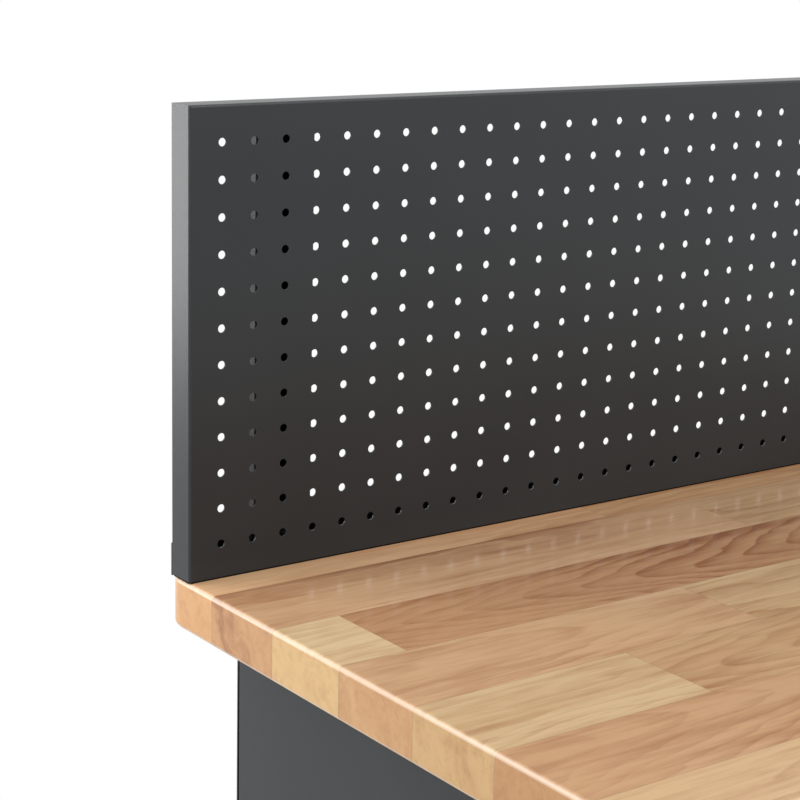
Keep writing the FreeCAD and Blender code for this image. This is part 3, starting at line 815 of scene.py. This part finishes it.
def basePan(spec):
    # the floor, its front rail with an inward lip, and an upstand at the back
    low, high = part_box("base_pan")
    t, bend = picks(spec, "sheet bend")
    back, under = low.y + spec["railDepth"], low.y + spec["postReturn"]
    rail = [(back, high.z - spec["railLip"]), (back, high.z), (low.y, high.z), (low.y, low.z),
            (under + spec["panLap"], low.z)]
    upstand = [(high.y - spec["upstandFoot"], low.z), (high.y, low.z), (high.y, high.z)]
    reach = high.x + t - spec["flange"]
    return together([
        sheetPiece("yz", rail, t, bend, -opening, opening),
        cutPlate((low.x, under, low.z), (high.x, high.y - spec["panGap"], low.z + t)),
        sheetPiece("yz", upstand, t, bend, -reach, reach),
    ])


def lockRail(spec):
    # a channel section, open to the rear with a lip at its lower edge, carried along X
    low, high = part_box("lock_rail")
    back = low.y + spec["railDepth"]
    rail = [(back, high.z), (low.y, high.z), (low.y, low.z), (back, low.z),
            (back, low.z + spec["railLip"])]
    return sheetPiece("yz", rail, *picks(spec, "sheet bend"), low.x, high.x)


def uprights(spec):
    # four channels, open towards the cabinet's sides, each a U section carried up
    low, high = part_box("slide_uprights")
    length = spec["uprightLength"]
    parts = []
    for y in (low.y, high.y - length):
        plan = [(low.x, y), (-opening, y), (-opening, y + length), (low.x, y + length)]
        channel = sheetPiece("xy", plan, *picks(spec, "sheet bend"), low.z, high.z)
        parts.append(withMirror(channel))
    return together(parts)


leftSide = sideSheet(cabinet)
for pieceName, shape, standsFor in (
    ("side_sheet_left", leftSide, "side_panel_left"),
    ("side_sheet_right", mirrored(leftSide), "side_panel_right"),
    ("back_sheet", backSheet(cabinet), "back_panel"),
    ("base_sheet", basePan(cabinet), "base_pan"),
    ("lock_rail_sheet", lockRail(cabinet), "lock_rail"),
    ("slide_upright_channels", uprights(cabinet), "slide_uprights"),
):
    newPiece(pieceName, shape, "cabinet_paint", standsFor)
print("cabinet made")


standing = {"sheet": 0.0025, "bend": 0.003, "width": 0.050, "foot": 0.032, "capWall": 0.002,
            "capEdge": 0.0022}


def oneLeg(spec):
    # an L section whose leaves grow longer with height: straight in the cap, then tapering out
    low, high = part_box("legs")
    foot, capTop = spec["foot"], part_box("foot_caps")[1].z + spec["capWall"]
    rings = []
    for z, leaf in ((low.z, foot), (capTop, foot), (high.z, spec["width"])):
        plan = [(low.x, low.y + leaf), (low.x, low.y), (low.x + leaf, low.y)]
        section = bentSheet(plan, *picks(spec, "sheet bend"), steps=8)
        rings.append(place("xy", *section.T, z))
    return ringSolid(rings)


def oneCap(spec):
    # a box with round rims, a wall's thickness larger all round than the leg's foot
    low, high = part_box("foot_caps")
    size = spec["foot"] + 2 * spec["capWall"]
    return softBox(low, (low.x + size, low.y + size, high.z), spec["capEdge"], steps=4)


def fourOf(shape):
    # the shape, mirrored across X and then both across Y
    return withMirror(withMirror(shape), 1)


newPiece("leg_set", fourOf(oneLeg(standing)), "cabinet_paint", "legs")
newPiece("foot_cap_set", fourOf(oneCap(standing)), "foot_plastic", "foot_caps")
print("legs made")


# drawers: front, pan with folded rims, pull and the three members of each slide
drawers = {
    "count": 5, "sheet": 0.001, "frontDepth": 0.018, "frontEdge": 0.0016, "bend": 0.0008,
    "panLift": 0.010, "panDrop": 0.015, "hem": 0.006, "lipRoll": 0.004, "wallEdge": 0.0003,
    "catchLift": 0.014, "catchHeight": 0.012, "catchThick": 0.002, "catchRoot": 0.0005,
    "notch": 0.006, "notchSlack": 0.0015, "tip": 0.002, "cut": 0.003,
}
pulls = {"wall": 0.002, "lip": 0.014, "rearBend": 0.0004, "frontBend": 0.0035, "bead": 0.0006,
         "beadSides": 16}
slides = {"sheet": 0.0012, "play": 0.0004, "height": 0.045, "width": 0.0127, "lipCut": 0.0022,
          "lift": 0.006, "bend": 0.0007, "gap": 0.0003}


def drawerParts(node, spec):
    # the front is a box with rounded edges; the pan is a folded section carried back, with a wall
    # at either end. Its side stands inside the inner slide member, by what the members leave free
    low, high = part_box(node)
    t, hem, roll = picks(spec, "sheet hem lipRoll")
    behind = low.y + spec["frontDepth"]
    base, rim = low.z + spec["panLift"], high.z - spec["panDrop"]
    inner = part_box(node + "_inner_rails")[1]
    step = slides["sheet"] + slides["play"]
    side = inner.x - (slides["width"] - slides["sheet"] - 2 * step - slides["gap"])
    section = [(-side + hem, rim - roll), (-side + hem, rim), (-side, rim), (-side, base),
               (side, base), (side, rim), (side - hem, rim), (side - hem, rim - roll)]
    pan = [sheetPiece("xz", section, t, spec["bend"], behind, inner.y)]
    for y in (behind, inner.y - t):
        pan.append(softBox((-side + t, y, base + t), (side - t, y + t, rim), spec["wallEdge"]))
    return softBox(low, (high.x, behind, high.z), spec["frontEdge"], steps=4), together(pan), base


def drawerCatch(node, spec, base):
    # a tab at the pan's rear, with the notch that the lock's bar holds and its corners cut
    plug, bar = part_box("lock_plug"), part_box("lock_bar")
    rear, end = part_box(node + "_inner_rails")[1].y - spec["catchRoot"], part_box(node)[1].y
    z0 = base + spec["catchLift"]
    z1, notch, cut = z0 + spec["catchHeight"], z0 + spec["notch"], spec["cut"]
    y0, y1 = bar[0].y - spec["notchSlack"], bar[1].y + spec["notchSlack"]
    outline = [(rear, z0), (y0, z0), (y0, notch), (y1, notch), (y1, z0), (end - spec["tip"], z0),
               (end, z0 + cut), (end, z1 - cut), (end - cut, z1), (rear, z1)]
    middle, half = (plug[0].x + plug[1].x) / 2, spec["catchThick"] / 2
    return slab("yz", outline, middle - half, middle + half)


def pullRail(node, spec):
    # the section runs up the front, over and down into the lip, whose end has a small bead: a
    # circle of half the sheet and half the bead
    low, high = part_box(node + "_pull")
    t, bead, sides = picks(spec, "wall bead beadSides")
    tip = high.z - spec["lip"]
    line = [(high.y, low.z), (high.y, high.z), (low.y, high.z), (low.y, tip)]
    rail = sheetPiece("yz", line, t, picks(spec, "rearBend frontBend"), low.x, high.x, steps=8)
    radius = t / 2 + bead * 0.5
    edge = arcPoints(low.y + radius, tip + t / 2 + bead, radius, 0, 360 - 360 / sides, sides - 1)
    return together([rail, slab("yz", edge, low.x, high.x)])


def slideSection(member, spec):
    # (height, depth) of each member as in the solids, depth counted from the upright; 0 is the
    # outer, 1 the middle and 2 the inner member, each a step lower than the one round it
    t, width = picks(spec, "sheet width")
    step = t + spec["play"]
    half = spec["height"] / 2 - member * step
    if member < 2:
        mouth, web = width - spec["lipCut"], (0.0, t + step)[member]
        return [(half, mouth), (half, web), (-half, web), (-half, mouth)]
    mouth = t + 2 * step + spec["gap"]
    return [(-half, mouth), (-half, width), (half, width), (half, mouth)]


def slidePair(member, base, low, high, spec):
    # the member's section carried back from the front end to the rear one, on both sides
    middle = base + spec["lift"] + spec["height"] / 2
    line = [(depth - opening, middle + height) for height, depth in slideSection(member, spec)]
    return withMirror(sheetPiece("xz", line, *picks(spec, "sheet bend"), low.y, high.y, steps=4))


outerRails = []
for number in range(1, drawers["count"] + 1):
    node = f"drawer_{number}"
    front, pan, base = drawerParts(node, drawers)
    newPiece(node + "_front", front, "drawer_paint", node, body=node, sharp=roundedSharp)
    inner, middle = node + "_inner_rails", node + "_middle_rails"
    for ending, shape, slotName, standsFor, body in (
        ("_pan", together([pan, drawerCatch(node, drawers, base)]), "drawer_paint", node, node),
        ("_pull_rail", pullRail(node, pulls), "pulls", node + "_pull", node),
        ("_slide_inner", slidePair(2, base, *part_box(inner), slides), "zinc", inner, node),
        ("_slide_middle", slidePair(1, base, *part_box(middle), slides), "zinc", middle, middle),
    ):
        newPiece(node + ending, shape, slotName, standsFor, body=body)
    outerRails.append(slidePair(0, base, *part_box(inner), slides))
newPiece("slide_outer_members", together(outerRails), "zinc", "slide_outer_rails")
print("drawers made")


lockFace = {"bezelRadius": 0.0115, "bore": 0.00605, "bodyRadius": 0.009, "edge": 0.001, "boreEase": 0.0004,
            "sides": 48}


def lockHousing(spec):
    # a ring with a rounded face, and the sleeve behind it: one closed profile turned along Y
    low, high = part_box("lock_housing")
    r, bore, body, e, ease = picks(spec, "bezelRadius bore bodyRadius edge boreEase")
    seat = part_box("lock_rail")[0].y
    rounding = arcPoints(r - e, low.y + e, e, 0, -90, steps=6).tolist()
    ring = [(body, seat), (r, seat)] + rounding
    ring += [(bore + ease, low.y), (bore, low.y + ease), (bore, high.y), (body, high.y)]
    return turned("xz", (low.x + high.x) / 2, (low.z + high.z) / 2, ring, spec["sides"], loopSolid)


newPiece("lock_bezel", lockHousing(lockFace), "lock", "lock_housing")
print("lock made")


cameraView = {
    "hole": (-0.4318, 0.216, 0.9394),          # the panel's first hole, lowest at the left
    "fromHole": (-0.6783, -1.1269, 0.4177),
    "azimuth": 34.64, "elevation": 11.25, "roll": -0.90,
    "focal": 1969.3, "centre": (343.25, 324.55), "width": 800,   # in pixels
    "sensor": 36.0, "clip": (0.02, 60.0),
}


def makeCamera(spec):
    # lens = focal length in pixels / width * sensor; the picture's centre is moved by the shift.
    # The view runs along (sin az cos el, cos az cos el, -sin el), turned round itself by the roll
    lens = bpy.data.cameras.new("camera")
    eye = bpy.data.objects.new("camera", lens)
    scene.collection.objects.link(eye)
    width, (centreX, centreY) = picks(spec, "width centre")
    lens.sensor_width = spec["sensor"]
    lens.lens = spec["focal"] / width * spec["sensor"]
    lens.shift_x = (width / 2 - centreX) / width
    lens.shift_y = -(width / 2 - centreY) / width
    lens.clip_start, lens.clip_end = spec["clip"]
    az, el, roll = map(math.radians, picks(spec, "azimuth elevation roll"))
    forward = Vector((math.sin(az) * math.cos(el), math.cos(az) * math.cos(el), -math.sin(el)))
    right = forward.cross(Vector((0, 0, 1))).normalized()
    up = right.cross(forward)
    rolled = Matrix.Rotation(roll, 3, forward)
    axes = zip(rolled @ right, rolled @ up, forward, spec["hole"], spec["fromHole"])
    eye.matrix_world = Matrix([(r, u, -f, hole + away) for r, u, f, hole, away in axes] + [(0, 0, 0, 1)])
    scene.camera = eye


makeCamera(cameraView)

studio = {
    "floorSize": 14.0, "floorPoints": 29, "floorColour": (0.86, 0.86, 0.86), "floorRough": 0.9,
    "floorSpecular": 0.2, "fadeFrom": 0.9, "fadeTo": 1.7,   # metres from the middle
    "worldForObject": 0.22,
    "mirrorDepth": 2.5,       # the ray depth is 2 for what a surface mirrors directly
    "lamps": {                # place, aim, width, height, watts
        "left": ((-3.0, -0.8, 2.2), (-0.3, 0.1, 1.0), 1.8, 1.8, 29.5),
        "front": ((-0.2, -1.0, 2.4), (-0.2, 0.2, 1.1), 1.0, 0.8, 17.5),
        "top": ((0.0, -0.4, 3.4), (0, 0, 0.9), 2.4, 1.6, 10.0),
        "fill": ((2.6, -2.6, 2.6), (0, 0, 0.9), 2.0, 2.0, 15.0),
        "leftRear": ((-1.6, 0.9, 2.0), (-0.457, 0.1, 0.95), 1.0, 1.0, 15.0),
        "edge": ((-1.135, 1.355, 1.095), (-0.457, 0.228, 1.1), 0.5, 0.57, 4.7),
    },
}


def seenDirectly(tree, mirrorDepth):
    # 1 for the camera's rays, for what a surface mirrors directly, and for refractions
    rays = tree.nodes.new("ShaderNodeLightPath").outputs
    first = maths(tree, "LESS_THAN", rays["Ray Depth"], mirrorDepth)
    mirror = maths(tree, "MULTIPLY", rays["Is Glossy Ray"], first)
    seen = maths(tree, "MAXIMUM", rays["Is Camera Ray"], mirror)
    return maths(tree, "MAXIMUM", seen, rays["Is Transmission Ray"])


def whiteWhereSeen(tree, plain, whiteKind, output, share):
    # plain * (1 - share) + white * share
    white = wired(tree, whiteKind, {"Color": (1, 1, 1)})
    blend = wired(tree, "MixShader", {0: share, 1: plain.outputs[0], 2: white.outputs[0]})
    fed(tree, tree.nodes[output], {"Surface": blend.outputs[0]})


def makeFloor(spec):
    # a square grid of evenly spaced points; it fades to white with its distance from the middle
    n = spec["floorPoints"]
    s = np.linspace(-spec["floorSize"] / 2, spec["floorSize"] / 2, n)
    gx, gy = np.meshgrid(s, s, indexing="ij")
    mesh = bpy.data.meshes.new("floor")
    mesh.from_pydata(place("xy", gx, gy, 0.0).reshape(-1, 3).tolist(), [], quadGrid(n, n).tolist())
    floor = bpy.data.objects.new("floor", mesh)
    scene.collection.objects.link(floor)
    look, tree, shader, coords = newLook("pale floor")
    colour, rough, specular = picks(spec, "floorColour floorRough floorSpecular")
    fed(tree, shader, {"Base Color": colour, "Roughness": rough, "Specular IOR Level": specular})
    length = wired(tree, "VectorMath", {0: coords["Object"]}, operation="LENGTH").outputs["Value"]
    far = ranged(tree, length, spec["fadeFrom"], spec["fadeTo"], 0, 1, True)
    share = maths(tree, "MULTIPLY", far, seenDirectly(tree, spec["mirrorDepth"]))
    whiteWhereSeen(tree, shader, "Emission", "Material Output", share)
    mesh.materials.append(look)


def makeWorld(spec):
    # white where it is seen, and a dimmer light on the object
    scene.world = bpy.data.worlds.new("studio")
    scene.world.use_nodes = True
    tree = scene.world.node_tree
    light = tree.nodes["Background"]
    fed(tree, light, {"Color": (1, 1, 1), "Strength": spec["worldForObject"]})
    share = seenDirectly(tree, spec["mirrorDepth"])
    whiteWhereSeen(tree, light, "Background", "World Output", share)


def makeLamps(spec):
    # each is a rectangle whose back points along place - aim, hidden from the camera
    for name, (spot, aim, width, height, watts) in spec["lamps"].items():
        lamp = bpy.data.lights.new(name, "AREA")
        lamp.shape, lamp.size, lamp.size_y, lamp.energy = "RECTANGLE", width, height, watts
        holder = bpy.data.objects.new(name, lamp)
        scene.collection.objects.link(holder)
        holder.location = spot
        holder.rotation_mode = "QUATERNION"
        holder.rotation_quaternion = (Vector(spot) - Vector(aim)).to_track_quat("Z", "Y")
        holder.visible_camera = False


makeFloor(studio)
makeWorld(studio)
makeLamps(studio)
scene.view_settings.view_transform = "Standard"
print("camera, floor and lamps made")
